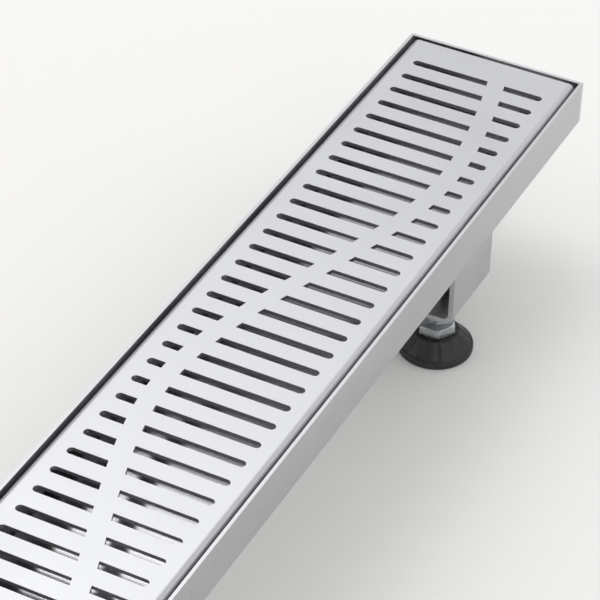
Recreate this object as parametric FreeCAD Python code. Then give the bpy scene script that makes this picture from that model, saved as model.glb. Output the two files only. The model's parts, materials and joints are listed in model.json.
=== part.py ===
import FreeCAD, Part
import math
import os

# Narrow linear shower channel: a slotted cover lies in a folded tray on four levelling feet.
# Millimetres. X runs across the channel, Y along it and Z up. The origin is on the floor,
# under the middle of the channel.

V = FreeCAD.Vector

# Slots of the cover
row_count = 70
slot_pitch = 10.0
slot_width = 3.1
slotted_width = 52.5  # from the round end of the left slots to that of the right ones
band_width = 6.75  # plain wave between the two slots of a row, measured across the cover
shortest_slot = 6.0  # slot that is left beside a crest
half_wave = 141.5  # from one crest to the next, counted from the one in the middle
wave_end_offset = 3.7  # where the band's middle meets the cover's ends

# Cover sheet
cover_sheet = 1.5
cover_bend_inside = 1.0
side_land = 4.4  # flat from the slots' ends to the bend
end_land = 14.8  # from the middle of the last slot to the cover's cut end

# Tray
rim_height = 70.0  # rim above the floor, with the feet as drawn
trough_depth = 17.5  # rim to tray floor
tray_sheet = 1.2
tray_bend_inside = 1.2
side_gap = 1.1  # cover to tray wall
end_gap = 1.95

# Rubber clips on the cover's skirts
buffers_per_side = 4
buffer_length = 18.0
buffer_inset = 55.0  # cover end to the middle of the first clip
buffer_sole = 2.0
buffer_leg = 5.0  # how far a clip reaches up the skirt
buffer_wall = 0.8

# Outlet
spigot_radius = 25.0
spigot_above_floor = 8.0
ledge_drop = 4.5  # tray floor to the ledge round the outlet
ledge_width = 2.5
dish_flare = 2.5
dish_rim = 1.5  # flat ring that joins the pressed dish to the tray floor
dish_crease = 1.0  # inside radius of the dish's creases

# Odour trap
core_wall = 1.8
core_flange = 1.5
flange_clearance = 0.7  # clears the rounded foot of the dish's slope
seal_width = 2.2  # from the core to the spigot
seal_sides = 8
seal_drop = 3.0  # ledge to the middle of the seal ring
cuff_height = 4.5  # how far the membrane reaches up the core
membrane_wall = 1.4
bill_length = 14.0
bill_thickness = 3.6
bill_recess = 5.0  # end of the bill to the spigot's mouth

# Strainer
strainer_sheet = 0.8
basket_depth = 6.5
basket_gap = 1.0  # basket to the odour trap's wall
hole_radius = 1.6
hole_ring_step = 5.6
hole_rings = 3
holes_per_ring_step = 6

# Feet
foot_inset = 88.0  # tray end to the middle of a foot bracket
nut_to_bracket = 3.5  # nut corner to bracket side
bracket_length = 32.0
bracket_sheet = 2.0
bracket_bend_inside = 2.0
bracket_setback = 3.0  # tray side to bracket side
bracket_flange = 12.0
thread_radius = 4.0
thread_clearance = 0.05
web_hole_clearance = 0.5
nut_across_flats = 13.0
nut_height = 6.5
collar_height = 4.5
free_thread = 6.3  # lock nut to collar, the way that the foot can be drawn in
screw_headroom = 8.5  # screw end to the tray's underside
pad_radius = 14.0
pad_height = 8.5
pad_sole = 3.0
pad_hub_radius = 8.5

# Heights and widths that follow
tray_floor = rim_height - trough_depth
tray_underside = tray_floor - tray_sheet
wave_swing = slotted_width / 2 - shortest_slot - band_width / 2
cover_bend = cover_bend_inside + cover_sheet
tray_bend = tray_bend_inside + tray_sheet
cover_half_width = slotted_width / 2 + side_land + cover_bend
trough_half_width = cover_half_width + side_gap
tray_half_width = trough_half_width + tray_sheet
row_span = (row_count - 1) * slot_pitch
cover_length = row_span + 2 * end_land
trough_length = cover_length + 2 * end_gap
tray_length = trough_length + 2 * tray_sheet
skirt_bottom = tray_floor + buffer_sole
spigot_bore = spigot_radius - tray_sheet
ledge_radius = spigot_bore + ledge_width
ledge_top = tray_floor - ledge_drop
core_radius = spigot_bore - seal_width
core_bore = core_radius - core_wall
flange_radius = ledge_radius - flange_clearance
core_bottom = spigot_above_floor + bill_recess + bill_length
web_bottom = pad_height + collar_height + free_thread + nut_height
web_top = web_bottom + bracket_sheet
bracket_half_width = tray_half_width - bracket_setback
nut_corner = nut_across_flats / math.sqrt(3)
screw_offset = bracket_half_width - bracket_sheet - nut_to_bracket - nut_corner


def rounded_line(points, radius):
    """Edges of an open line through the points, with its inner corners rounded."""
    edges = []
    start = points[0]
    for corner, after in zip(points[1:-1], points[2:]):
        back = (start - corner).normalize()
        ahead = (after - corner).normalize()
        half_angle = back.getAngle(ahead) / 2
        reach = radius / math.tan(half_angle)
        leave = corner + back * reach
        join = corner + ahead * reach
        middle = (back + ahead).normalize()
        centre = corner + middle * (radius / math.sin(half_angle))
        edges.append(Part.makeLine(start, leave))
        edges.append(Part.Arc(leave, centre - middle * radius, join).toShape())
        start = join
    edges.append(Part.makeLine(start, points[-1]))
    return edges


def bent_sheet(outside, inside, outside_radii, inside_radii):
    """Face of a bent sheet between its two sides, each given as (across, height) points."""
    sides = []
    for line, radii in ((outside, outside_radii), (inside, inside_radii)):
        points = [V(x, 0, z) for x, z in line]
        sides.append(rounded_line(points, radii))
    joins = [
        Part.makeLine(V(outside[-1][0], 0, outside[-1][1]), V(inside[-1][0], 0, inside[-1][1])),
        Part.makeLine(V(inside[0][0], 0, inside[0][1]), V(outside[0][0], 0, outside[0][1])),
    ]
    edges = sides[0] + [joins[0]] + sides[1][::-1] + [joins[1]]
    return Part.Face(Part.Wire(edges))


def u_sheet(half_width, open_edge, folded_edge, sheet, inside_radius):
    """Face of a U-shaped sheet whose legs run from the folded edge to the open edge."""
    step = math.copysign(sheet, open_edge - folded_edge)
    outside = [
        (-half_width, open_edge),
        (-half_width, folded_edge),
        (half_width, folded_edge),
        (half_width, open_edge),
    ]
    inner = half_width - sheet
    inside = [
        (-inner, open_edge),
        (-inner, folded_edge + step),
        (inner, folded_edge + step),
        (inner, open_edge),
    ]
    return bent_sheet(outside, inside, inside_radius + sheet, inside_radius)


def run_along(face, length, middle=0.0):
    """Solid of a cross-section that runs along the channel."""
    solid = face.extrude(V(0, length, 0))
    solid.translate(V(0, middle - length / 2, 0))
    return solid


def polygon(points):
    """Flat face through (across, height) points."""
    corners = [V(x, 0, z) for x, z in points]
    return Part.Face(Part.makePolygon(corners + corners[:1]))


def turned(face, x=0.0, y=0.0):
    """Solid of a half section turned about an upright axis."""
    solid = face.revolve(V(0, 0, 0), V(0, 0, 1), 360)
    solid.translate(V(x, y, 0))
    return solid


def tube(outer, inner, bottom, top):
    """Upright pipe on the Z axis."""
    return turned(polygon([(inner, bottom), (outer, bottom), (outer, top), (inner, top)]))


def hexagon(bottom, height, bore):
    """Hexagon bar or nut blank, standing on the Z axis."""
    points = [
        V(nut_corner * math.cos(math.pi / 3 * i), nut_corner * math.sin(math.pi / 3 * i), bottom)
        for i in range(7)
    ]
    blank = Part.Face(Part.makePolygon(points)).extrude(V(0, 0, height))
    if bore:
        blank = blank.cut(Part.makeCylinder(bore, height, V(0, 0, bottom)))
    return blank


def wave(y):
    """Across position of the plain band's middle at a place along the cover.

    It eases from crest to crest as a cubic with level ends, and runs out from the last
    crest to the cover's end as a cubic that is straight where it leaves the sheet.
    """
    along = abs(y)
    crests = int(row_span / 2 / half_wave)
    last_crest = crests * half_wave
    if along >= last_crest:
        share = (along - last_crest) / (cover_length / 2 - last_crest)
        fall = 1.5 * share**2 - 0.5 * share**3
        return wave_swing + (wave_end_offset - wave_swing) * fall
    crest = int(along / half_wave)
    share = along / half_wave - crest
    ease = 3 * share**2 - 2 * share**3
    return (-1) ** (crests - crest) * wave_swing * (1 - 2 * ease)


def slot_cutter(y, side):
    """Prism of one slot: a round outer end, and an inner end that follows the wave."""
    half = slot_width / 2
    outer = side * (slotted_width / 2 - half)
    low = rim_height - 2 * cover_sheet
    near = V(wave(y - half) + side * band_width / 2, y - half, low)
    far = V(wave(y + half) + side * band_width / 2, y + half, low)
    end_near = V(outer, y - half, low)
    end_far = V(outer, y + half, low)
    edges = [
        Part.makeLine(near, end_near),
        Part.Arc(end_near, V(outer + side * half, y, low), end_far).toShape(),
        Part.makeLine(end_far, far),
        Part.makeLine(far, near),
    ]
    return Part.Face(Part.Wire(edges)).extrude(V(0, 0, 3 * cover_sheet))


def make_grate():
    section = u_sheet(cover_half_width, skirt_bottom, rim_height, cover_sheet, cover_bend_inside)
    cutters = []
    for row in range(row_count):
        y = row_span / 2 - row * slot_pitch
        for side in (-1, 1):
            cutters.append(slot_cutter(y, side))
    return run_along(section, cover_length).cut(Part.makeCompound(cutters))


def make_buffer(side, y):
    """Rubber clip on a skirt's lower edge, chamfered to clear the tray's bend."""
    skirt_outside = cover_half_width
    skirt_inside = cover_half_width - cover_sheet
    outer = skirt_outside + buffer_wall
    inner = skirt_inside - buffer_wall
    top = skirt_bottom + buffer_leg
    outline = [
        (inner, tray_floor),
        (outer - tray_bend_inside, tray_floor),
        (outer, tray_floor + tray_bend_inside),
        (outer, top),
        (skirt_outside, top),
        (skirt_outside, skirt_bottom),
        (skirt_inside, skirt_bottom),
        (skirt_inside, top),
        (inner, top),
    ]
    return run_along(polygon([(side * x, z) for x, z in outline]), buffer_length, y)


def make_tray():
    """Folded trough with a dish pressed into its floor round the outlet."""
    section = u_sheet(tray_half_width, rim_height, tray_underside, tray_sheet, tray_bend_inside)
    trough = run_along(section, trough_length)
    dish_top = ledge_radius + dish_flare
    rim = dish_top + dish_rim
    upper = [
        (rim, tray_floor),
        (dish_top, tray_floor),
        (ledge_radius, ledge_top),
        (spigot_bore, ledge_top),
    ]
    lower = [(x, z - tray_sheet) for x, z in upper]
    dish = turned(bent_sheet(upper, lower, dish_crease, dish_crease))
    hole = Part.makeCylinder(rim, 2 * tray_sheet, V(0, 0, tray_floor - 1.5 * tray_sheet))
    return trough.cut(hole).fuse(dish).removeSplitter()


def make_end_plate(side):
    """Welded end with the outline of the folded trough."""
    outline = rounded_line(
        [
            V(-tray_half_width, 0, rim_height),
            V(-tray_half_width, 0, tray_underside),
            V(tray_half_width, 0, tray_underside),
            V(tray_half_width, 0, rim_height),
        ],
        tray_bend,
    )
    top = Part.makeLine(V(tray_half_width, 0, rim_height), V(-tray_half_width, 0, rim_height))
    face = Part.Face(Part.Wire(outline + [top]))
    return run_along(face, tray_sheet, side * (trough_length + tray_sheet) / 2)


def make_spigot():
    return tube(spigot_radius, spigot_bore, spigot_above_floor, ledge_top - tray_sheet)


def make_core():
    """Lift-out tube that hangs by its flange."""
    return turned(polygon([
        (core_bore, core_bottom),
        (core_radius, core_bottom),
        (core_radius, ledge_top),
        (flange_radius, ledge_top),
        (flange_radius, ledge_top + core_flange),
        (core_bore, ledge_top + core_flange),
    ]))


def make_seal_ring():
    """Eight-sided ring stretched on the core, which meets the spigot's bore."""
    half = seal_width / 2
    corner = half / math.cos(math.pi / seal_sides)
    outline = []
    for i in range(seal_sides):
        angle = 2 * math.pi * (i + 0.5) / seal_sides
        outline.append((
            core_radius + half + corner * math.cos(angle),
            ledge_top - seal_drop + corner * math.sin(angle),
        ))
    return turned(polygon(outline))


def bill_block(radius, half_mouth, top, bottom):
    """Round sleeve that two slopes pinch to a flat mouth at the bottom."""
    sleeve = Part.makeCylinder(radius, top - bottom, V(0, 0, bottom))
    corners = [
        V(-radius, -radius, top),
        V(-radius, radius, top),
        V(-radius, half_mouth, bottom),
        V(-radius, -half_mouth, bottom),
    ]
    pinch = Part.Face(Part.makePolygon(corners + corners[:1])).extrude(V(2 * radius, 0, 0))
    return sleeve.common(pinch)


def make_membrane():
    """Silicone bill: a cuff stretched on the core's end, and a sleeve that flattens to a slit."""
    radius = core_radius + membrane_wall
    mouth = core_bottom - bill_length
    outside = bill_block(radius, bill_thickness / 2, core_bottom, mouth)
    inside = bill_block(core_radius, bill_thickness / 2 - membrane_wall, core_bottom, mouth)
    cuff = tube(radius, core_radius, core_bottom, core_bottom + cuff_height)
    return outside.cut(inside).fuse(cuff).removeSplitter()


def make_strainer():
    """Basket pressed from thin sheet, with rings of holes in its floor."""
    flange_bottom = ledge_top + core_flange
    basket = core_bore - basket_gap
    floor = flange_bottom - basket_depth
    body = turned(polygon([
        (flange_radius, flange_bottom + strainer_sheet),
        (basket - strainer_sheet, flange_bottom + strainer_sheet),
        (basket - strainer_sheet, floor + strainer_sheet),
        (0, floor + strainer_sheet),
        (0, floor),
        (basket, floor),
        (basket, flange_bottom),
        (flange_radius, flange_bottom),
    ]))
    drills = [Part.makeCylinder(hole_radius, 3 * strainer_sheet, V(0, 0, floor - strainer_sheet))]
    for ring in range(1, hole_rings):
        count = ring * holes_per_ring_step
        for i in range(count):
            angle = 2 * math.pi * i / count
            place = V(
                ring * hole_ring_step * math.cos(angle),
                ring * hole_ring_step * math.sin(angle),
                floor - strainer_sheet,
            )
            drills.append(Part.makeCylinder(hole_radius, 3 * strainer_sheet, place))
    return body.cut(Part.makeCompound(drills))


def make_bracket(y):
    """Folded bracket under the tray, with a clearance hole for each levelling screw."""
    inner = bracket_half_width - bracket_sheet
    tip = bracket_half_width - bracket_flange
    outside = [
        (-tip, tray_underside),
        (-bracket_half_width, tray_underside),
        (-bracket_half_width, web_bottom),
        (bracket_half_width, web_bottom),
        (bracket_half_width, tray_underside),
        (tip, tray_underside),
    ]
    inside = [
        (-tip, tray_underside - bracket_sheet),
        (-inner, tray_underside - bracket_sheet),
        (-inner, web_top),
        (inner, web_top),
        (inner, tray_underside - bracket_sheet),
        (tip, tray_underside - bracket_sheet),
    ]
    bend = bracket_bend_inside + bracket_sheet
    solid = run_along(bent_sheet(outside, inside, bend, bracket_bend_inside), bracket_length, y)
    for side in (-1, 1):
        hole = Part.makeCylinder(
            thread_radius + web_hole_clearance,
            3 * bracket_sheet,
            V(side * screw_offset, y, web_bottom - bracket_sheet),
        )
        solid = solid.cut(hole)
    return solid


def placed(solid, x, y):
    solid.translate(V(x, y, 0))
    return solid


def make_nut(x, y, bottom):
    bore = thread_radius + thread_clearance
    return placed(hexagon(bottom, nut_height, bore), x, y)


def make_screw(x, y):
    """Levelling screw with a hexagon collar that stands on the pad."""
    end = tray_underside - screw_headroom
    chamfer = thread_radius / 5
    shank = turned(polygon([
        (0, pad_sole),
        (thread_radius - chamfer, pad_sole),
        (thread_radius, pad_sole + chamfer),
        (thread_radius, end - chamfer),
        (thread_radius - chamfer, end),
        (0, end),
    ]))
    collar = hexagon(pad_height, collar_height, 0)
    return placed(shank.fuse(collar).removeSplitter(), x, y)


def make_pad(x, y):
    """Moulded foot pad with a blind hole for the screw's end."""
    bore = thread_radius + thread_clearance
    return turned(
        polygon([
            (0, 0),
            (pad_radius, 0),
            (pad_radius, pad_sole),
            (pad_hub_radius, pad_height),
            (bore, pad_height),
            (bore, pad_sole),
            (0, pad_sole),
        ]),
        x,
        y,
    )


def all_parts():
    parts = {
        "grate": make_grate(),
        "tray": make_tray(),
        "end_plate_near": make_end_plate(-1),
        "end_plate_far": make_end_plate(1),
        "outlet_spigot": make_spigot(),
        "odour_trap_core": make_core(),
        "trap_seal_ring": make_seal_ring(),
        "trap_membrane": make_membrane(),
        "hair_strainer": make_strainer(),
    }
    reach = cover_length / 2 - buffer_inset
    for i in range(buffers_per_side):
        y = -reach + 2 * reach * i / (buffers_per_side - 1)
        parts[f"grate_buffer_{2 * i + 1}"] = make_buffer(-1, y)
        parts[f"grate_buffer_{2 * i + 2}"] = make_buffer(1, y)
    foot = 0
    for number, end in ((1, -1), (2, 1)):
        y = end * (tray_length / 2 - foot_inset)
        parts[f"foot_bracket_{number}"] = make_bracket(y)
        for side in (-1, 1):
            foot += 1
            x = side * screw_offset
            parts[f"weld_nut_{foot}"] = make_nut(x, y, web_top)
            parts[f"lock_nut_{foot}"] = make_nut(x, y, web_bottom - nut_height)
            parts[f"foot_screw_{foot}"] = make_screw(x, y)
            parts[f"foot_pad_{foot}"] = make_pad(x, y)
    return parts


os.makedirs("parts", exist_ok=True)
for name, shape in all_parts().items():
    shape.exportStep(f"parts/{name}.step")
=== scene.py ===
import json
import math

import bmesh
import bpy
import numpy as np
from mathutils import Matrix, Vector


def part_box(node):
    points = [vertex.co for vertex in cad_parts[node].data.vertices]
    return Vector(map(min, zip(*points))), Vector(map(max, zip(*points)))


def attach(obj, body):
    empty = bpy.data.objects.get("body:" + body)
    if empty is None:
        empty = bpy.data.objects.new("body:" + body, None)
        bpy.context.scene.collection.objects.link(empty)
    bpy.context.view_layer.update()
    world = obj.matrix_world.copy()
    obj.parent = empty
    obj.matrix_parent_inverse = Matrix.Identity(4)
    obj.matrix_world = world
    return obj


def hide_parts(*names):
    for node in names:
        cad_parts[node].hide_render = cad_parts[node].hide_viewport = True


# Narrow stainless shower channel: wave-slotted cover, folded tray, pipe stub and levelling feet.
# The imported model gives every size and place. This script gives the finishes, the softened
# sheet edges, the threads, the weld seams, the light and the camera.

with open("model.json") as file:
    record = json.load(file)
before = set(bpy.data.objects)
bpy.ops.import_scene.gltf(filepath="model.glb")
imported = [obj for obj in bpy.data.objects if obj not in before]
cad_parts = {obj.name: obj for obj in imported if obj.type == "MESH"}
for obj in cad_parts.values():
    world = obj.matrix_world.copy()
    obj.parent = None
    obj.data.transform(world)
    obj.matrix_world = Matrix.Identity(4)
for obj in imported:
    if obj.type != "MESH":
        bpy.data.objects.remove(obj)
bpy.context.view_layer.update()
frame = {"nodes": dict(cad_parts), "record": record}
mm = 0.001
bodyOf = {n: b for b, ns in frame["record"]["behaviour"]["bodies"].items() for n in ns}
slotOf = {s["node"]: s["material_slot"] for s in frame["record"]["subparts"]}
print("frame loaded,", len(frame["nodes"]), "nodes")


# Small helpers for materials

def linear(hexColour):
    # sRGB hex to linear values with full alpha
    values = np.array([int(hexColour[i:i + 2], 16) for i in (1, 3, 5)]) / 255
    curve = np.where(values <= 0.04045, values / 12.92, ((values + 0.055) / 1.055) ** 2.4)
    return (*curve.tolist(), 1.0)


def addNode(tree, kind, settings=None, links=None):
    # settings go to the node's own properties, or to its sockets by name; links feed sockets
    node = tree.nodes.new(kind)
    for key, value in (settings or {}).items():
        if hasattr(node, key):
            setattr(node, key, value)
        else:
            node.inputs[key].default_value = value
    for key, socket in (links or {}).items():
        tree.links.new(socket, node.inputs[key])
    return node


def newMaterial(name, settings):
    material = bpy.data.materials.new(name)
    material.use_nodes = True
    tree = material.node_tree
    shader = tree.nodes["Principled BSDF"]
    for key, value in settings.items():
        shader.inputs[key].default_value = value
    place = addNode(tree, "ShaderNodeTexCoord").outputs["Object"]
    return material, tree, shader, place


def noiseAt(tree, place, size, stretch=(1, 1, 1), detail=2.0):
    # noise whose features are about size millimetres across, longer along a stretched axis
    scale = [1 / (size * mm * s) for s in stretch]
    mapping = addNode(tree, "ShaderNodeMapping", {"Scale": scale}, {"Vector": place})
    noise = addNode(tree, "ShaderNodeTexNoise", {"Scale": 1.0, "Detail": detail}, {
        "Vector": mapping.outputs["Vector"],
    })
    return noise.outputs["Fac"]


def spread(tree, pattern, low, high):
    # stretches a noise, which stays between 0.3 and 0.7 for the most part, over a range of values
    node = addNode(tree, "ShaderNodeMapRange", {
        "From Min": 0.3, "From Max": 0.7, "To Min": low, "To Max": high,
    }, {"Value": pattern})
    return node.outputs["Result"]


def blendColours(tree, pattern, first, second):
    node = addNode(tree, "ShaderNodeMix", {"data_type": "RGBA"})
    node.inputs[6].default_value = linear(first)
    node.inputs[7].default_value = linear(second)
    tree.links.new(spread(tree, pattern, 0, 1), node.inputs["Factor"])
    return node.outputs[2]


def addBump(tree, shader, pattern, height):
    # height is the pattern's real depth in millimetres
    bump = addNode(tree, "ShaderNodeBump", {"Distance": height * mm}, {"Height": pattern})
    tree.links.new(bump.outputs["Normal"], shader.inputs["Normal"])


# Finishes of the sheet metal

satinSheet = {
    "colours": ("#cfd0d2", "#d4d5d7"),
    "roughness": (0.40, 0.46),
    "grain": 0.4,            # mm across a ground line; the real 0.05 would not show
    "grainLength": 70,       # a line's length over its width
    "grainDepth": 0.004,     # mm
    "patch": 38,             # mm, size of the faint cloudy patches
}


def satinStainless():
    # 304 sheet, belt-ground along its length: a soft bright sheen with no clear images
    material, tree, shader, place = newMaterial("satinStainless", {"Metallic": 1.0})
    patches = noiseAt(tree, place, satinSheet["patch"])
    stretch = (1, satinSheet["grainLength"], 1)
    grain = noiseAt(tree, place, satinSheet["grain"], stretch)
    colour = blendColours(tree, patches, *satinSheet["colours"])
    tree.links.new(colour, shader.inputs["Base Color"])
    tree.links.new(spread(tree, patches, *satinSheet["roughness"]), shader.inputs["Roughness"])
    addBump(tree, shader, grain, satinSheet["grainDepth"])
    return material


rawUnderside = {
    "colours": ("#a8a9ac", "#b6b7ba"),
    "roughness": (0.42, 0.52),
    "patch": 9,              # mm, blotches of pickling
}


def pickledStainless():
    # the cover's back, left as it comes from pickling: dull and darker than the ground face
    material, tree, shader, place = newMaterial("pickledStainless", {"Metallic": 1.0})
    blotches = noiseAt(tree, place, rawUnderside["patch"], detail=4.0)
    colour = blendColours(tree, blotches, *rawUnderside["colours"])
    tree.links.new(colour, shader.inputs["Base Color"])
    tree.links.new(spread(tree, blotches, *rawUnderside["roughness"]), shader.inputs["Roughness"])
    return material


cutEdge = {
    "colours": ("#b4b4b5", "#c9c9cb"),
    "roughness": 0.45,
    "streak": 0.25,          # mm between the streaks that the punch leaves
    "streakHeight": 12,      # a streak's height over its width
    "streakDepth": 0.006,    # mm
}


def punchedEdge():
    # slot walls: sheared steel, duller than the faces, with fine upright streaks
    material, tree, shader, place = newMaterial("punchedEdge", {
        "Metallic": 1.0,
        "Roughness": cutEdge["roughness"],
    })
    streaks = noiseAt(tree, place, cutEdge["streak"], (1, 1, cutEdge["streakHeight"]))
    colour = blendColours(tree, streaks, *cutEdge["colours"])
    tree.links.new(colour, shader.inputs["Base Color"])
    addBump(tree, shader, streaks, cutEdge["streakDepth"])
    return material


rolledSheet = {
    "colours": ("#dfe0e1", "#e5e6e7"),
    "roughness": (0.14, 0.18),
    "rollLine": 0.8,         # mm between roll lines
    "rollLineLength": 90,
    "rollLineDepth": 0.0004, # mm
    "patch": 60,             # mm
}


def rolledStainless():
    # 304 sheet with a cold-rolled bright finish: smooth and almost a mirror
    material, tree, shader, place = newMaterial("rolledStainless", {"Metallic": 1.0})
    patches = noiseAt(tree, place, rolledSheet["patch"])
    stretch = (1, rolledSheet["rollLineLength"], 1)
    lines = noiseAt(tree, place, rolledSheet["rollLine"], stretch)
    colour = blendColours(tree, patches, *rolledSheet["colours"])
    tree.links.new(colour, shader.inputs["Base Color"])
    tree.links.new(spread(tree, patches, *rolledSheet["roughness"]), shader.inputs["Roughness"])
    addBump(tree, shader, lines, rolledSheet["rollLineDepth"])
    return material


# mill finish of the tray's outside: its colours are partly the mill grey and partly painted shade,
# darker than the floor so the rim stands out
millSheet = {
    "colours": ("#b4b5b7", "#bfc0c2"),
    "roughness": (0.26, 0.36),
    "patch": 26,             # mm, faint clouds
    "patchStretch": (1, 3, 1),
    "dent": 7,               # mm, the slight waviness of thin sheet
    "dentStretch": (1, 4, 1),
    "dentDepth": 0.02,       # mm
}


def millStainless():
    # the sheet's other side, in plain mill finish: even pale grey with blurred reflections; the
    # grey is set darker than the floor as painted shade, so the rim stands out against it
    material, tree, shader, place = newMaterial("millStainless", {"Metallic": 1.0})
    patches = noiseAt(tree, place, millSheet["patch"], millSheet["patchStretch"], detail=4.0)
    dents = noiseAt(tree, place, millSheet["dent"], millSheet["dentStretch"])
    colour = blendColours(tree, patches, *millSheet["colours"])
    tree.links.new(colour, shader.inputs["Base Color"])
    tree.links.new(spread(tree, patches, *millSheet["roughness"]), shader.inputs["Roughness"])
    addBump(tree, shader, dents, millSheet["dentDepth"])
    return material


bracketSheet = {
    "colours": ("#b4b5b6", "#c0c1c2"),
    "roughness": (0.34, 0.46),
    "patch": 14,             # mm
    "scratch": 0.5,          # mm across a scratch
    "scratchStretch": (14, 1, 3),
    "scratchDepth": 0.01,    # mm
}


def mattStainless():
    # 2 mm stainless strip, tumbled after folding: matt, with short scratches
    material, tree, shader, place = newMaterial("mattStainless", {"Metallic": 1.0})
    patches = noiseAt(tree, place, bracketSheet["patch"], detail=4.0)
    scratches = noiseAt(tree, place, bracketSheet["scratch"], bracketSheet["scratchStretch"])
    colour = blendColours(tree, patches, *bracketSheet["colours"])
    tree.links.new(colour, shader.inputs["Base Color"])
    tree.links.new(spread(tree, patches, *bracketSheet["roughness"]), shader.inputs["Roughness"])
    addBump(tree, shader, scratches, bracketSheet["scratchDepth"])
    return material


weldMetal = {
    "colours": ("#9c8f80", "#b9b8b6"),
    "roughness": (0.25, 0.42),
    "tint": 2.5,             # mm, length of the heat tints along a seam
}


def weldedStainless():
    # TIG seam, brushed once: silver with a trace of straw-coloured heat tint
    material, tree, shader, place = newMaterial("weldedStainless", {"Metallic": 1.0})
    tints = noiseAt(tree, place, weldMetal["tint"])
    colour = blendColours(tree, tints, *weldMetal["colours"])
    tree.links.new(colour, shader.inputs["Base Color"])
    tree.links.new(spread(tree, tints, *weldMetal["roughness"]), shader.inputs["Roughness"])
    return material


zincCoat = {
    "colours": ("#a9adb0", "#c3c7c9"),
    "roughness": (0.28, 0.40),
    "spangle": 1.2,          # mm, cloudiness of the passivated coat
}


def zincPlatedSteel():
    # zinc-plated and blue-passivated fasteners: cool silver, slightly cloudy
    material, tree, shader, place = newMaterial("zincPlatedSteel", {"Metallic": 1.0})
    clouds = noiseAt(tree, place, zincCoat["spangle"], detail=4.0)
    colour = blendColours(tree, clouds, *zincCoat["colours"])
    tree.links.new(colour, shader.inputs["Base Color"])
    tree.links.new(spread(tree, clouds, *zincCoat["roughness"]), shader.inputs["Roughness"])
    return material


# Finishes of plastic and rubber

moulded = {
    "grit": 0.35,            # mm, spark-eroded mould texture, drawn coarser than the real 0.1
    "gritDepth": 0.015,      # mm
}

trapPlastic = {"colours": ("#c4c5c3", "#cdcecb"), "roughness": (0.38, 0.5), "ior": 1.49}
padPlastic = {"colours": ("#1c1c1e", "#242426"), "roughness": (0.42, 0.56), "ior": 1.53}


def mouldedPlastic(name, colours, roughness, ior):
    # polypropylene or polyamide from an eroded mould: even colour, fine leathery grain
    material, tree, shader, place = newMaterial(name, {"IOR": ior})
    grit = noiseAt(tree, place, moulded["grit"], detail=3.0)
    tree.links.new(blendColours(tree, grit, *colours), shader.inputs["Base Color"])
    tree.links.new(spread(tree, grit, *roughness), shader.inputs["Roughness"])
    addBump(tree, shader, grit, moulded["gritDepth"])
    return material


rubber = {
    "colours": ("#303030", "#41413f"),
    "roughness": (0.62, 0.8),
    "bloom": 3.0,            # mm
}


def mouldedRubber():
    # EPDM: dark grey rather than black, matt, with a dusty bloom
    material, tree, shader, place = newMaterial("mouldedRubber", {"IOR": 1.5})
    bloom = noiseAt(tree, place, rubber["bloom"], detail=4.0)
    colour = blendColours(tree, bloom, *rubber["colours"])
    tree.links.new(colour, shader.inputs["Base Color"])
    tree.links.new(spread(tree, bloom, *rubber["roughness"]), shader.inputs["Roughness"])
    return material


silicone = {
    "colours": ("#d5dadd", "#e6e9ea"),
    "roughness": (0.32, 0.42),
    "haze": 6.0,             # mm
    "scatter": 2.0,          # mm that light travels inside
}


def clearSilicone():
    # translucent silicone: milky, soft gloss, light passes through its thin wall
    material, tree, shader, place = newMaterial("clearSilicone", {
        "IOR": 1.41,
        "Transmission Weight": 0.35,
        "Subsurface Weight": 0.25,
        "Subsurface Scale": silicone["scatter"] * mm,
    })
    haze = noiseAt(tree, place, silicone["haze"])
    colour = blendColours(tree, haze, *silicone["colours"])
    tree.links.new(colour, shader.inputs["Base Color"])
    tree.links.new(spread(tree, haze, *silicone["roughness"]), shader.inputs["Roughness"])
    return material


finishes = {
    "cover_steel": satinStainless(),
    "tray_steel": rolledStainless(),
    "bracket_steel": mattStainless(),
    "plated_steel": zincPlatedSteel(),
    "trap_plastic": mouldedPlastic("mouldedPolypropylene", **trapPlastic),
    "pad_plastic": mouldedPlastic("mouldedPolyamide", **padPlastic),
    "seal_rubber": mouldedRubber(),
    "silicone": clearSilicone(),
}
underside = pickledStainless()
slotWall = punchedEdge()
# outer faces of the tray: mill finish whose darker grey is partly painted shade
outside = millStainless()
seam = weldedStainless()
print("finishes made")


# Small helpers for meshes

joinDistance = 0.001 * mm    # points nearer than this are one
sharpAngle = 35              # degrees, a bend sharper than this shows as an edge


def newPiece(name, mesh):
    piece = bpy.data.objects.new(name, mesh)
    bpy.context.scene.collection.objects.link(piece)
    return piece


def gridPiece(name, points, closedAlong=False):
    # points is rows x columns x 3: every row is a closed ring, and neighbouring rings are joined
    rows, columns = points.shape[:2]
    index = np.arange(rows * columns).reshape(rows, columns)
    index = np.concatenate([index, index[:, :1]], axis=1)
    if closedAlong:
        index = np.concatenate([index, index[:1]], axis=0)
    quads = np.stack([index[:-1, :-1], index[:-1, 1:], index[1:, 1:], index[1:, :-1]], axis=-1)
    mesh = bpy.data.meshes.new(name)
    mesh.from_pydata(points.reshape(-1, 3).tolist(), [], quads.reshape(-1, 4).tolist())
    return newPiece(name, mesh)


def cleanMesh(mesh, smoothAngle):
    # joins doubles, drops slivers, turns faces outwards and leaves only sharp edges sharp
    work = bmesh.new()
    work.from_mesh(mesh)
    bmesh.ops.remove_doubles(work, verts=work.verts, dist=joinDistance)
    bmesh.ops.dissolve_degenerate(work, edges=work.edges, dist=joinDistance)
    bmesh.ops.recalc_face_normals(work, faces=work.faces)
    work.to_mesh(mesh)
    work.free()
    mesh.shade_smooth()
    mesh.set_sharp_from_angle(angle=math.radians(smoothAngle))


def dress(piece, node):
    # the piece stands for a CAD node, rides where it rides and takes its finish
    piece.data.materials.append(finishes[slotOf[node]])
    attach(piece, bodyOf[node])
    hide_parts(node)


# Folded, turned and moulded pieces: the CAD shape with its edges broken as the real ones are

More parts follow.
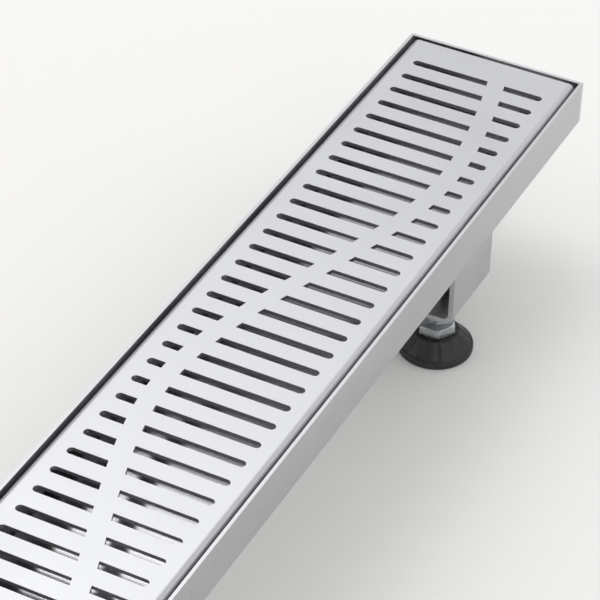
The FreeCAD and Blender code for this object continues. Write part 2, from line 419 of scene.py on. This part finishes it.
brokenEdge = {               # mm, how far the edge of each piece is rounded or deburred
    "grate": 0.14,           # and the clips on it
    "tray": 0.16,
    "end_plate": 0.16,
    "outlet_spigot": 0.25,
    "foot_bracket": 0.22,
    "odour_trap_core": 0.3,
    "hair_strainer": 0.12,
}

softening = {
    "segments": 2,           # faces across a rounded edge
    "flatAngle": 0.5,        # degrees, flatter bends than this are merged
    "edgeAngle": 50,         # degrees, sharper bends than this are rounded
}


def softCopy(node, edge):
    # copy of a CAD node with joined triangles, flat faces merged and sharp edges rounded
    piece = newPiece(node + "_finished", frame["nodes"][node].data.copy())
    piece.data.materials.clear()
    work = bmesh.new()
    work.from_mesh(piece.data)
    bmesh.ops.remove_doubles(work, verts=work.verts, dist=joinDistance)
    bmesh.ops.dissolve_limit(work, angle_limit=math.radians(softening["flatAngle"]),
                             verts=work.verts, edges=work.edges)
    work.to_mesh(piece.data)
    work.free()
    piece.data.shade_smooth()
    piece.data.set_sharp_from_angle(angle=math.radians(sharpAngle))
    if edge:
        bevel = piece.modifiers.new("brokenEdge", "BEVEL")
        bevel.width = edge * mm
        bevel.segments = softening["segments"]
        bevel.limit_method = "ANGLE"
        bevel.angle_limit = math.radians(softening["edgeAngle"])
        bevel.use_clamp_overlap = True
    flat = piece.modifiers.new("flatFaces", "WEIGHTED_NORMAL")
    flat.weight = 100        # large flat faces keep their own normal, so only bends look round
    flat.keep_sharp = True
    return piece


for node in sorted(frame["nodes"]):
    if slotOf[node] not in ("plated_steel", "pad_plastic"):
        edge = next((size for family, size in brokenEdge.items() if node.startswith(family)), 0)
        dress(softCopy(node, edge), node)
print("sheet and moulded pieces made")


# Sides of a sheet that have finishes of their own

def facesOf(mesh):
    # normal and middle of every face, as arrays
    count = len(mesh.polygons)
    normals = np.zeros(count * 3)
    centres = np.zeros(count * 3)
    mesh.polygons.foreach_get("normal", normals)
    mesh.polygons.foreach_get("center", centres)
    return normals.reshape(-1, 3), centres.reshape(-1, 3)


side = {                     # mm
    "skirt": 6,              # from the cover's side, past its bend
    "face": 1,               # the cover's back lies deeper than this
    "aim": 8,                # depth of a line in the trough that the inner faces look at
    "aimEnd": 5,             # where that line ends, from the tray's end
    "wall": 15,              # depth of the tray's ground walls
    "rim": 0.3,              # depth of the rim's top face
}


def paintCover():
    # dull back, and slot walls as the punch left them
    cover = bpy.data.objects["grate_finished"]
    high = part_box("grate")[1]
    cover.data.materials.append(underside)
    cover.data.materials.append(slotWall)
    normals, centres = facesOf(cover.data)
    inner = np.abs(centres[:, 0]) < high.x - side["skirt"] * mm
    deep = centres[:, 2] < high.z - side["face"] * mm
    back = (normals[:, 2] < -0.5) & deep
    inwards = (normals[:, 0] * centres[:, 0] < 0) & deep & ~inner
    wall = inner & (np.abs(normals[:, 2]) < 0.5)
    kind = np.zeros(len(centres), dtype=np.int32)
    kind[back | inwards] = 1
    kind[wall] = 2
    cover.data.polygons.foreach_set("material_index", kind)


def paintTray(name):
    # bright floor, mill finish outside in a darker grey that is partly painted shade, and walls
    # and rim that are ground like the cover
    piece = bpy.data.objects[name]
    piece.data.materials.append(outside)
    piece.data.materials.append(finishes["cover_steel"])
    normals, centres = facesOf(piece.data)
    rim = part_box("tray")[1]
    reach = centres - np.array([0, 0, rim.z - side["aim"] * mm])
    end = rim.y - side["aimEnd"] * mm
    reach[:, 1] -= np.clip(reach[:, 1], -end, end)
    kind = np.zeros(len(centres), dtype=np.int32)
    kind[(np.abs(normals[:, 2]) < 0.2) & (centres[:, 2] > rim.z - side["wall"] * mm)] = 2
    # faces turned away from the trough take the mill finish, its darker grey partly painted shade
    kind[(normals * reach).sum(axis=1) > 0] = 1
    kind[(normals[:, 2] > 0.9) & (centres[:, 2] > rim.z - side["rim"] * mm)] = 2
    piece.data.polygons.foreach_set("material_index", kind)


paintCover()
for name in ("tray_finished", "end_plate_near_finished", "end_plate_far_finished"):
    paintTray(name)


# Levelling screws and nuts

screw = {
    "radius": 4.0,           # mm, over the thread
    "pitch": 1.25,
    "depth": 0.62,
    "endCut": 0.3,           # how far the upper end is cut below the core
    "collar": 4.5,           # height of the hexagon above the pad
    "columns": 48,           # points round a turn
    "rowsPerTurn": 8,
}

nut = {
    "acrossFlats": 13.0,     # mm
    "seat": 0.97,            # width of the round seat over the width across flats
    "cone": 30,              # degrees, chamfer of the corners
    "boreGap": 0.02,         # mm, bore to thread
    "boreSink": 0.5,         # mm, chamfer of the bore
    "columns": 96,
}


def turnAngles(columns):
    return np.arange(columns) * 2 * np.pi / columns


def hexRadius(angles, acrossFlats):
    # distance from the axis to a hexagon's side in each direction
    folded = np.mod(angles, np.pi / 3) - np.pi / 6
    return acrossFlats / 2 / np.cos(folded)


def threadedShank(name, x, y, bottom, top):
    # a ring's radius is a triangle wave of height less turn, so the crest climbs one pitch a turn;
    # a cone of 45 degrees cuts the upper end down to less than the core
    length = top - bottom
    turns = length / (screw["pitch"] * mm)
    heights = np.linspace(bottom, top, int(turns * screw["rowsPerTurn"]))[:, None]
    angles = turnAngles(screw["columns"])[None, :]
    phase = np.mod((heights - bottom) / (screw["pitch"] * mm) - angles / (2 * np.pi), 1)
    ridge = np.clip(2 * np.abs(2 * phase - 1) - 0.5, 0, 1)
    major = screw["radius"] * mm
    minor = major - screw["depth"] * mm
    cone = minor - screw["endCut"] * mm + top - heights
    radius = np.minimum(minor + (major - minor) * ridge, cone)
    rings = np.stack([
        x + radius * np.cos(angles),
        y + radius * np.sin(angles),
        heights + 0 * radius,
    ], axis=-1)
    caps = [np.repeat([[[x, y, h]]], screw["columns"], axis=1) for h in (bottom, top)]
    points = np.concatenate([caps[0], rings, caps[1]], axis=0)
    piece = gridPiece(name, points)
    cleanMesh(piece.data, smoothAngle=50)
    return piece


def hexBlock(name, x, y, bottom, top, bore=0.0, bottomChamfer=True):
    # rings from the bore over the lower face, up the hexagon and back over the upper face;
    # a flat cone cuts the corners, and a cone of 45 degrees opens the bore
    columns = nut["columns"]
    angles = turnAngles(columns)
    flats = hexRadius(angles, nut["acrossFlats"] * mm)
    seat = nut["acrossFlats"] / 2 * nut["seat"] * mm
    slope = math.tan(math.radians(nut["cone"]))
    reach = flats.max() - seat
    drop = reach * slope
    sink = nut["boreSink"] * mm
    levels = [bottom + drop * s for s in (0, 0.25, 0.5, 0.75, 1)]
    levels += [top - drop * s for s in (1, 0.75, 0.5, 0.25, 0)]
    rings = []
    if bore:
        rings.append((np.full(columns, bore), bottom + sink))
        rings.append((np.full(columns, bore + sink), bottom))
    else:
        rings.append((np.zeros(columns), bottom))
    for level in levels:
        fromEnd = min(1.0, (top - level) / slope / reach)
        if bottomChamfer:
            fromEnd = min(fromEnd, (level - bottom) / slope / reach)
        rings.append((np.minimum(flats, seat + fromEnd * reach), level))
    if bore:
        rings.append((np.full(columns, bore + sink), top))
        rings.append((np.full(columns, bore), top - sink))
    else:
        rings.append((np.zeros(columns), top))
    points = np.array([
        np.stack([x + r * np.cos(angles), y + r * np.sin(angles), np.full(columns, z)], axis=-1)
        for r, z in rings
    ])
    piece = gridPiece(name, points, closedAlong=bool(bore))
    cleanMesh(piece.data, smoothAngle=40)
    return piece


def joinPieces(name, pieces):
    # several meshes with one material become one mesh
    work = bmesh.new()
    for part in pieces:
        work.from_mesh(part.data)
    mesh = bpy.data.meshes.new(name)
    work.to_mesh(mesh)
    work.free()
    for part in pieces:
        bpy.data.objects.remove(part)
    return newPiece(name, mesh)


def makeFoot(number):
    # threaded shank with its hexagon collar, and the two nuts on it
    low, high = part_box(f"foot_screw_{number}")
    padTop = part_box(f"foot_pad_{number}")[1].z
    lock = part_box(f"lock_nut_{number}")
    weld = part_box(f"weld_nut_{number}")
    x = (low.x + high.x) / 2
    y = (low.y + high.y) / 2
    collarTop = padTop + screw["collar"] * mm
    overlap = 0.3 * mm       # the shank starts inside the collar
    shank = threadedShank(f"shank_{number}", x, y, collarTop - overlap, high.z)
    collar = hexBlock(f"collar_{number}", x, y, padTop, collarTop)
    dress(joinPieces(f"levelling_screw_{number}", [shank, collar]), f"foot_screw_{number}")
    bore = screw["radius"] * mm + nut["boreGap"] * mm
    lockNut = hexBlock(f"lock_nut_{number}_finished", x, y, lock[0].z, lock[1].z, bore)
    dress(lockNut, f"lock_nut_{number}")
    weldNut = hexBlock(f"weld_nut_{number}_finished", x, y, weld[0].z, weld[1].z, bore,
                       bottomChamfer=False)
    dress(weldNut, f"weld_nut_{number}")


pad = {                      # mm
    "sole": 3.0,             # height of the upright rim
    "hub": 8.5,              # radius of the flat top
    "boreGap": 0.05,
    "boreEdge": 0.4,         # chamfer of the bore
    "round": 0.8,            # radius of the rim's upper and lower edges
    "recess": 0.7,           # hollow under the sole
    "recessRadius": 9.5,
    "recessSlope": 0.5,
    "flutes": 12,            # their number
    "fluteDepth": 0.7,
    "cornerRows": 6,         # points on a rounded edge
    "slopeRows": 21,         # points on the slope
    "columns": 144,          # points round a turn
}


def makePad(number):
    # a section carried round the axis; on its slope the radius sinks by the square of a cosine
    # wave, which gives shallow flutes that fade out at the slope's ends
    node = f"foot_pad_{number}"
    low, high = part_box(node)
    x = (low.x + high.x) / 2
    y = (low.y + high.y) / 2
    rim = (high.x - low.x) / 2 / mm
    top = high.z / mm
    bore = screw["radius"] + pad["boreGap"]
    corner = np.linspace(0, np.pi / 2, pad["cornerRows"])
    less = pad["round"] * (1 - np.sin(corner))
    more = pad["round"] * (1 - np.cos(corner))
    lowCorner = np.stack([rim - less, more], 1)
    highCorner = np.stack([rim - more, pad["sole"] - less], 1)
    share = np.linspace(0, 1, pad["slopeRows"] + 1)[1:]
    start = highCorner[-1]
    slope = start + (np.array([pad["hub"], top]) - start) * share[:, None]
    bottom = np.array([
        [0.0, pad["recess"]],
        [pad["recessRadius"], pad["recess"]],
        [pad["recessRadius"] + pad["recessSlope"], 0],
    ])
    inside = np.array([
        [bore + pad["boreEdge"], top],
        [bore, top - pad["boreEdge"]],
        [bore, pad["sole"]],
        [0.0, pad["sole"]],
    ])
    section = np.concatenate([bottom, lowCorner, highCorner, slope, inside])
    onSlope = np.zeros(len(section))
    first = len(bottom) + len(lowCorner) + len(highCorner)
    onSlope[first:first + len(share)] = np.sin(np.pi * share) ** 0.5
    angles = turnAngles(pad["columns"])
    wave = np.maximum(0, np.cos(pad["flutes"] * angles)) ** 2
    radius = (section[:, 0] - pad["fluteDepth"] * onSlope * wave[:, None]) * mm
    height = np.repeat(section[None, :, 1] * mm, len(angles), axis=0)
    points = np.stack([
        x + radius * np.cos(angles)[:, None],
        y + radius * np.sin(angles)[:, None],
        height,
    ], axis=-1)
    piece = gridPiece(node + "_finished", points, closedAlong=True)
    cleanMesh(piece.data, smoothAngle=50)
    dress(piece, node)


for number in range(1, 5):
    makeFoot(number)
    makePad(number)
print("feet made")


# Weld seams

ripple = 1.3                 # mm from one ripple of a seam to the next
seamColumns = 10             # points round a seam

pipeSeam = {                 # mm, the ring round the pipe stub
    "width": 1.1,            # half of the seam's width
    "height": 0.35,          # above the sheet
    "swell": 0.28,           # share by which a ripple swells the seam
    "out": 0.1,              # from the stub's wall
    "down": 0.3,             # from the stub's upper end
    "points": 480,
}

groundSeam = {               # mm, the seam round an end plate, ground nearly flush
    "width": 0.8,
    "height": 0.10,
    "swell": 0.08,
    "bend": 2.4,             # outside radius of the tray's folds
    "bendPoints": 14,
    "top": 0.5,              # from the rim to the seam's end
    "step": 0.3,
}

tack = {                     # mm, short seams
    "length": 9.0,           # along a flange's inner edge
    "endLength": 6,          # at a flange's ends
    "endPlace": 3.5,         # from the inner edge to their middle
    "width": 0.9,
    "height": 0.8,
    "flange": 12.0,          # the bracket's flange
    "nutLength": 4.5,        # at a weld nut
    "nutWidth": 0.7,
    "step": 0.22,
    "swell": 0.28,
}


def weldSeam(name, path, normals, closed, width, height, swelling):
    # a flat oval carried along the path; its size swells and sinks once a ripple, and it
    # closes to a point at the ends of an open path
    steps = np.linalg.norm(np.diff(path, axis=0), axis=1)
    run = np.concatenate([[0], np.cumsum(steps)])
    tangent = np.gradient(path, axis=0)
    tangent /= np.linalg.norm(tangent, axis=1)[:, None]
    across = np.cross(tangent, normals)
    across /= np.linalg.norm(across, axis=1)[:, None]
    swell = 1 + swelling * np.sin(2 * np.pi * run / (ripple * mm))
    if not closed:
        fromEnd = np.minimum(run, run[-1] - run) / (width * mm)
        swell = swell * np.sqrt(np.clip(1 - (1 - np.clip(fromEnd, 0, 1)) ** 2, 0, 1))
    angles = turnAngles(seamColumns)
    wide = width * mm * np.cos(angles)[None, :, None] * across[:, None, :]
    tall = height * mm * np.sin(angles)[None, :, None] * normals[:, None, :]
    points = path[:, None, :] + (wide + tall) * swell[:, None, None]
    piece = gridPiece(name, points, closedAlong=closed)
    cleanMesh(piece.data, smoothAngle=60)
    return piece


def dressSeam(piece, material):
    piece.data.materials.append(material)
    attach(piece, "channel")


def straightSeam(name, middle, along, normal, length, width, height):
    # short seam through a middle point; its faces look along the normal
    run = np.linspace(-0.5, 0.5, int(length / tack["step"]))[:, None] * length * mm
    path = np.array(middle) + run * np.array(along)
    normals = np.repeat([np.array(normal) / np.linalg.norm(normal)], len(path), axis=0)
    return weldSeam(name, path, normals, False, width, height, tack["swell"])


def spigotSeam():
    # ring where the pipe stub meets the pressed dish
    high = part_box("outlet_spigot")[1]
    radius = high.x + pipeSeam["out"] * mm
    angles = np.linspace(0, 2 * np.pi, pipeSeam["points"], endpoint=False)
    outwards = np.stack([np.cos(angles), np.sin(angles), 0 * angles], axis=-1)
    path = outwards * radius + np.array([0, 0, high.z - pipeSeam["down"] * mm])
    size = (pipeSeam["width"], pipeSeam["height"], pipeSeam["swell"])
    dressSeam(weldSeam("spigot_seam", path, outwards, True, *size), seam)


def endSeam(name, end):
    # down one side of the trough, round both bends and up the other side
    low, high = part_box("end_plate_far")
    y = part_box("tray")[1].y * end
    bend = groundSeam["bend"] * mm
    step = groundSeam["step"] * mm
    half = high.x
    down = np.arange(high.z - groundSeam["top"] * mm, low.z + bend, -step)
    turn = np.linspace(0, np.pi / 2, groundSeam["bendPoints"])[1:]
    level = np.arange(half - bend, 0, -step)[1:]
    places = np.concatenate([
        np.stack([np.full(len(down), half), down], 1),
        np.stack([half - bend + bend * np.cos(turn), low.z + bend - bend * np.sin(turn)], 1),
        np.stack([level, np.full(len(level), low.z)], 1),
    ])
    facing = np.concatenate([
        np.repeat([[1.0, 0.0]], len(down), axis=0),
        np.stack([np.cos(turn), -np.sin(turn)], 1),
        np.repeat([[0.0, -1.0]], len(level), axis=0),
    ])
    mirror = np.array([-1, 1])
    places = np.concatenate([places, places[::-1] * mirror])
    facing = np.concatenate([facing, facing[::-1] * mirror])
    path = np.stack([places[:, 0], np.full(len(places), y), places[:, 1]], 1)
    normals = np.stack([facing[:, 0], np.zeros(len(places)), facing[:, 1]], 1)
    size = (groundSeam["width"], groundSeam["height"], groundSeam["swell"])
    dressSeam(weldSeam(name, path, normals, False, *size), finishes["cover_steel"])


def bracketTacks(number):
    # seams at the inner edge and at both ends of each flange, on the tray's underside
    low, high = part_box(f"foot_bracket_{number}")
    middle = (low.y + high.y) / 2
    size = (tack["length"], tack["width"], tack["height"])
    seams = []
    for hand in (-1, 1):
        tip = hand * (high.x - tack["flange"] * mm)
        seams.append(straightSeam("tack", (tip, middle, high.z), (0, 1, 0), (-hand, 0, -1), *size))
        for end, y in ((-1, low.y), (1, high.y)):
            place = (tip + hand * tack["endPlace"] * mm, y, high.z)
            endSize = (tack["endLength"], *size[1:])
            seams.append(straightSeam("tack", place, (1, 0, 0), (0, end, -1), *endSize))
    dressSeam(joinPieces(f"bracket_{number}_tacks", seams), seam)


def nutTacks(number):
    # three short seams round the foot of a weld nut
    low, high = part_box(f"weld_nut_{number}")
    centre = np.array([(low.x + high.x) / 2, (low.y + high.y) / 2, low.z])
    seams = []
    for angle in np.radians([30, 150, 270]):
        out = np.array([np.cos(angle), np.sin(angle), 0])
        along = np.array([-out[1], out[0], 0])
        place = centre + out * nut["acrossFlats"] / 2 * mm
        seams.append(straightSeam("tack", place, along, out + np.array([0, 0, 1]),
                                  tack["nutLength"], tack["nutWidth"], tack["nutWidth"]))
    dressSeam(joinPieces(f"weld_nut_{number}_tacks", seams), seam)


spigotSeam()
endSeam("end_seam_near", -1)
endSeam("end_seam_far", 1)
for number in (1, 2):
    bracketTacks(number)
for number in range(1, 5):
    nutTacks(number)
print("weld seams made")


# Floor, backdrop, light and camera

studio = {
    "floor": "#e6e5e3",
    "floorSize": 40.0,       # m
    "world": 1.0,
    "backdrop": "#bfbfc2",
    "boxes": [               # place in m, aim in m, width and height in m, power in W
        ((-1.02, 0.92, 2.36), (0.0, 0.05, 0.07), (1.55, 1.55), 15.0),
        ((1.6, -1.2, 2.0), (0.0, 0.1, 0.05), (1.6, 1.6), 9.6),
        ((2.0, 0.9, 1.4), (0.0, 0.0, 0.07), (1.2, 1.2), 4.5),
        ((-1.8, -0.9, 1.4), (0.0, 0.1, 0.05), (1.4, 1.4), 6),
        ((-0.55, 1.79, 1.97), (0.0, 0.1, 0.07), (1.8, 1.4), 4.2),
        ((0.84, 1.85, 1.15), (0.0, 0.0, 0.07), (1.0, 1.0), 1.8),
    ],
}


def makeFloor():
    half = studio["floorSize"] / 2
    mesh = bpy.data.meshes.new("floor")
    corners = [(-half, -half, 0), (half, -half, 0), (half, half, 0), (-half, half, 0)]
    mesh.from_pydata(corners, [], [(0, 1, 2, 3)])
    floor = newPiece("floor", mesh)
    material = newMaterial("paleFloor", {
        "Base Color": linear(studio["floor"]),
        "Roughness": 0.75,
        "Specular IOR Level": 0.2,
    })[0]
    mesh.materials.append(material)


def makeWorld():
    # rays that see the world straight, in metal or through silicone meet the pale backdrop
    world = bpy.data.worlds.new("studio")
    bpy.context.scene.world = world
    world.use_nodes = True
    tree = world.node_tree
    tree.nodes.clear()
    path = addNode(tree, "ShaderNodeLightPath")
    seen = addNode(tree, "ShaderNodeMath", {"operation": "ADD", "use_clamp": True})
    tree.links.new(path.outputs["Is Camera Ray"], seen.inputs[0])
    tree.links.new(path.outputs["Is Glossy Ray"], seen.inputs[1])
    through = addNode(tree, "ShaderNodeMath", {"operation": "ADD", "use_clamp": True})
    tree.links.new(seen.outputs[0], through.inputs[0])
    tree.links.new(path.outputs["Is Transmission Ray"], through.inputs[1])
    fill = addNode(tree, "ShaderNodeBackground", {"Strength": studio["world"]})
    back = addNode(tree, "ShaderNodeBackground", {"Color": linear(studio["backdrop"])})
    mix = addNode(tree, "ShaderNodeMixShader", {}, {"Fac": through.outputs[0]})
    tree.links.new(fill.outputs[0], mix.inputs[1])
    tree.links.new(back.outputs[0], mix.inputs[2])
    addNode(tree, "ShaderNodeOutputWorld", {}, {"Surface": mix.outputs[0]})


def makeLights():
    for number, (place, aim, size, power) in enumerate(studio["boxes"], 1):
        lamp = bpy.data.lights.new(f"softbox_{number}", "AREA")
        lamp.shape = "RECTANGLE"
        lamp.size, lamp.size_y = size
        lamp.energy = power
        box = bpy.data.objects.new(f"softbox_{number}", lamp)
        box.location = place
        box.rotation_euler = (Vector(aim) - Vector(place)).to_track_quat("-Z", "Y").to_euler()
        bpy.context.scene.collection.objects.link(box)


view = {                     # worked out from the slots' straight rows in the photograph
    "fromRow": (325.6, -789.0, 567.8),   # mm from the far row's middle on the cover to the camera
    "farRowInset": 16.75,                # mm from the tray's rim to the far row, without the sheet
    "right": (0.8868, 0.4618, 0.0169),
    "up": (-0.2985, 0.5445, 0.7838),
    "lens": 164.06,          # mm
    "film": 36,              # mm wide
}


def makeCamera():
    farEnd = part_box("end_plate_far")[0].y
    start = Vector((0, farEnd - view["farRowInset"] * mm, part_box("grate")[1].z))
    right = Vector(view["right"]).normalized()
    up = Vector(view["up"])
    up = (up - right * up.dot(right)).normalized()
    back = right.cross(up)
    data = bpy.data.cameras.new("camera")
    data.lens = view["lens"]
    data.sensor_width = view["film"]
    data.clip_start = 0.05
    data.clip_end = 50
    camera = bpy.data.objects.new("camera", data)
    turn = Matrix((right, up, back)).transposed()
    camera.matrix_world = Matrix.Translation(start + Vector(view["fromRow"]) * mm) @ turn.to_4x4()
    bpy.context.scene.collection.objects.link(camera)
    bpy.context.scene.camera = camera


makeFloor()
makeWorld()
makeLights()
makeCamera()
bpy.context.scene.view_settings.view_transform = "Standard"
print("stage made")
